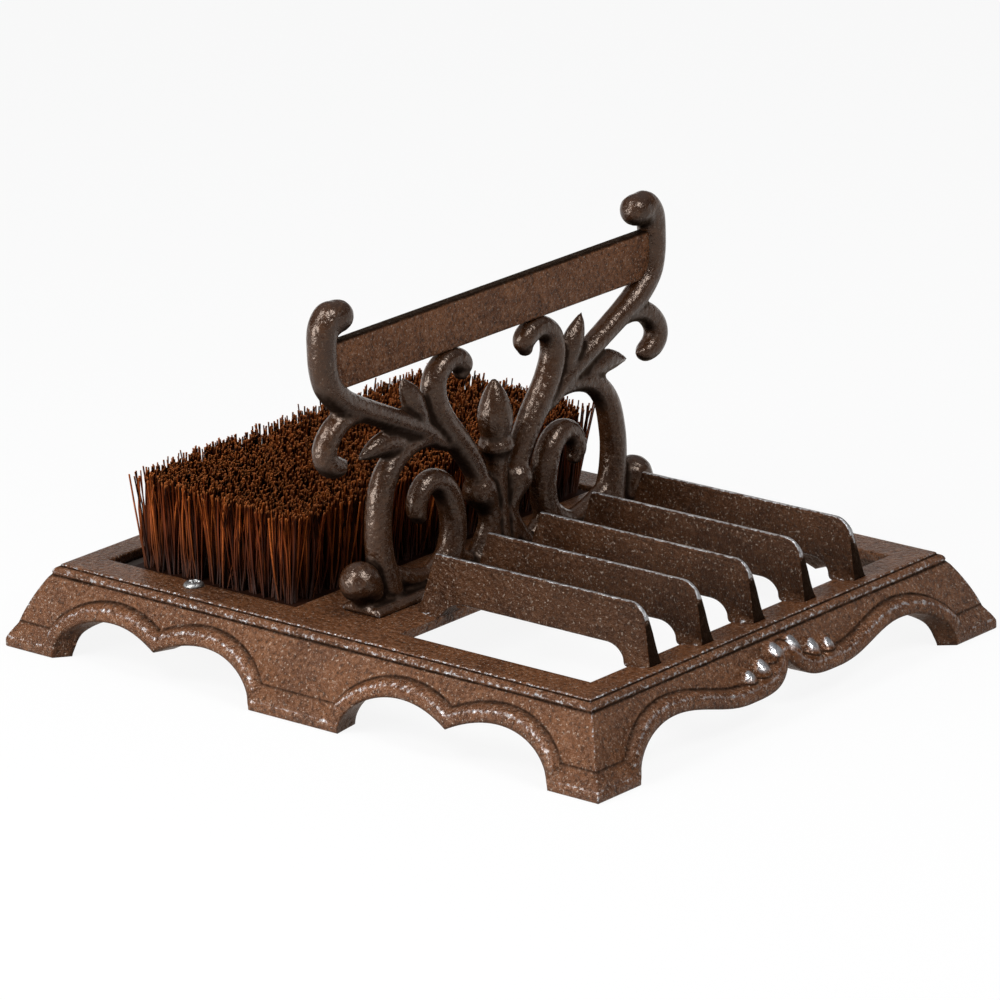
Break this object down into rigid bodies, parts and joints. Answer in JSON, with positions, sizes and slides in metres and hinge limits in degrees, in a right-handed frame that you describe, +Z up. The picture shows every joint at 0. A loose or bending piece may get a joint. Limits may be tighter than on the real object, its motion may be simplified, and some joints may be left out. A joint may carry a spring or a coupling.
{
  "type": "boot scraper",
  "caption": "Free-standing cast iron boot scraper with parallel blades, a stiff brush and a scroll upright with a scraping bar.",
  "frame": {"origin": "on the floor, under the middle of the base frame", "axes": "+Z up; +X along the long side, from the brush to the blades; +Y along the blades' row, away from the picture's viewer"},
  "size_m": [0.37, 0.294, 0.1948],
  "materials": {
    "brown_iron": "brown paint over sand-cast iron, worn bright on the edges",
    "zinc_steel": "dull zinc plate",
    "board_wood": "sawn, unvarnished",
    "bristle_fibre": "stiff natural fibre"
  },
  "bodies": {
    "root": {"base_frame": "brown_iron", "scraper_blade_1": "brown_iron", "scraper_blade_2": "brown_iron", "scraper_blade_3": "brown_iron", "scraper_blade_4": "brown_iron", "scraper_blade_5": "brown_iron", "scroll_upright": "brown_iron", "scroll_bolts": "zinc_steel", "scroll_washers": "zinc_steel", "brush_board": "board_wood", "brush_bristles": "bristle_fibre", "brush_screws": "zinc_steel"}
  },
  "joints": []
}
